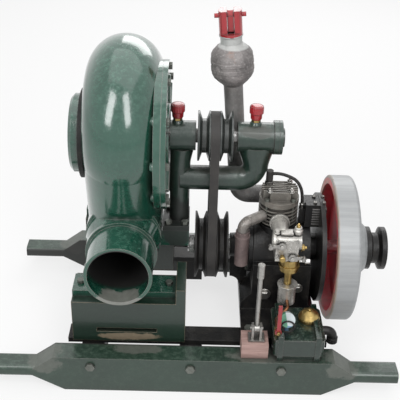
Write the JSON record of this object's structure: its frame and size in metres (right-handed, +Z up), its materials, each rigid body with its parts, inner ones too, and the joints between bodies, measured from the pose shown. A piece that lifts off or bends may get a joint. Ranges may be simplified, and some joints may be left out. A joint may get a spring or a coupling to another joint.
{
  "type": "engine-driven blower set",
  "caption": "Portable engine-driven centrifugal blower: scroll casing, bearing yoke, V-belt drive and small petrol engine on a carrying frame with hand grips.",
  "frame": {"origin": "on the ground at the middle of the carrying frame", "axes": "+X along the rails to the flywheel, +Y away from the discharge mouth, +Z up"},
  "size_m": [0.722, 0.417, 0.6159],
  "materials": {
    "green_paint": "worn gloss",
    "black_paint": "oily satin",
    "grey_casting": "rough",
    "silver_casting": "satin",
    "steel": "dull",
    "brass": "dull",
    "red_paint": "worn gloss",
    "rubber": "matt",
    "wood": "raw",
    "gauge": "glossy"
  },
  "bodies": {
    "machine": {"air_cleaner": "grey_casting", "back_plate": "green_paint", "bearers": "black_paint", "bearing_bracket": "green_paint", "bearing_bushes": "brass", "bearing_end_cap": "green_paint", "bolts": "steel", "carburettor_body": "silver_casting", "connecting_rod": "steel", "crankcase": "black_paint", "crankcase_cover": "black_paint", "cross_beams": "black_paint", "cylinder_barrel": "grey_casting", "cylinder_head": "grey_casting", "drain_elbow": "black_paint", "exhaust_pipe": "grey_casting", "float_bowl": "silver_casting", "front_pedestal": "green_paint", "front_rail": "green_paint", "fuel_gauge": "gauge", "fuel_pipe": "brass", "fuel_tank": "green_paint", "fuel_tap": "brass", "grease_cup_stems": "brass", "ignition_coil": "black_paint", "ignition_lead": "rubber", "inlet_collar": "green_paint", "inlet_elbow": "grey_casting", "inlet_flange": "black_paint", "lever_bracket": "steel", "magneto_plate": "black_paint", "main_bushes": "brass", "mixing_chamber": "brass", "muffler": "grey_casting", "outlet_fork": "red_paint", "piston": "silver_casting", "plug_boot": "rubber", "rear_pedestal": "green_paint", "rear_rail": "green_paint", "spark_plug": "steel", "v_belt": "rubber", "volute_casing": "green_paint", "wood_block": "wood", "wrist_pin": "steel"},
    "crank": {"crankshaft": "steel", "drive_pulley": "black_paint", "flywheel": "silver_casting", "rope_sheave": "black_paint"},
    "blower_rotor": {"blower_shaft": "steel", "impeller": "grey_casting", "driven_pulley": "green_paint"},
    "left_grease_cap": {"left_grease_cap": "red_paint"},
    "right_grease_cap": {"right_grease_cap": "red_paint"},
    "outlet_flap": {"outlet_flap": "red_paint"},
    "throttle_lever": {"throttle_lever": "steel"},
    "choke_lever": {"choke_lever": "steel"},
    "mixture_needle": {"mixture_needle": "steel"},
    "tap_lever": {"tap_lever": "red_paint"},
    "filler_cap": {"filler_cap": "brass"},
    "control_lever": {"control_lever": "steel"}
  },
  "joints": [
    {"name": "crank_spin", "type": "hinge", "parent": "machine", "child": "crank", "pos_m": [0, 0, 0.182], "axis": [1, 0, 0], "continuous": true},
    {"name": "blower_spin", "type": "hinge", "parent": "machine", "child": "blower_rotor", "pos_m": [0, 0, 0.408], "axis": [1, 0, 0], "continuous": true},
    {"name": "left_grease_cap_turn", "type": "hinge", "parent": "machine", "child": "left_grease_cap", "pos_m": [-0.038, 0, 0.443], "axis": [0, 0, 1], "continuous": true},
    {"name": "right_grease_cap_turn", "type": "hinge", "parent": "machine", "child": "right_grease_cap", "pos_m": [0.097, 0, 0.443], "axis": [0, 0, 1], "continuous": true},
    {"name": "outlet_flap_swing", "type": "hinge", "parent": "machine", "child": "outlet_flap", "pos_m": [0.04663, 0.062, 0.60517], "axis": [0.9962, 0, 0.0872], "range_deg": [0, 75]},
    {"name": "throttle_turn", "type": "hinge", "parent": "machine", "child": "throttle_lever", "pos_m": [0.168, -0.105, 0.226], "axis": [0, 1, 0], "range_deg": [-35, 35]},
    {"name": "choke_turn", "type": "hinge", "parent": "machine", "child": "choke_lever", "pos_m": [0.148, -0.105, 0.25], "axis": [0, 1, 0], "range_deg": [0, 70]},
    {"name": "mixture_needle_turn", "type": "hinge", "parent": "machine", "child": "mixture_needle", "pos_m": [0.19, -0.086, 0.207], "axis": [1, 0, 0], "continuous": true},
    {"name": "tap_turn", "type": "hinge", "parent": "machine", "child": "tap_lever", "pos_m": [0.144, -0.189, 0.129], "axis": [0, 1, 0], "range_deg": [-90, 0]},
    {"name": "filler_cap_turn", "type": "hinge", "parent": "machine", "child": "filler_cap", "pos_m": [0.203, -0.136, 0.125], "axis": [0, 0, 1], "range_deg": [0, 90]},
    {"name": "control_lever_swing", "type": "hinge", "parent": "machine", "child": "control_lever", "pos_m": [0.108, -0.174, 0.125], "axis": [1, 0, 0], "range_deg": [-20, 20]}
  ],
  "couplings": [
    {"joint": "blower_spin", "follows": "crank_spin", "ratio": 1.4743}
  ]
}
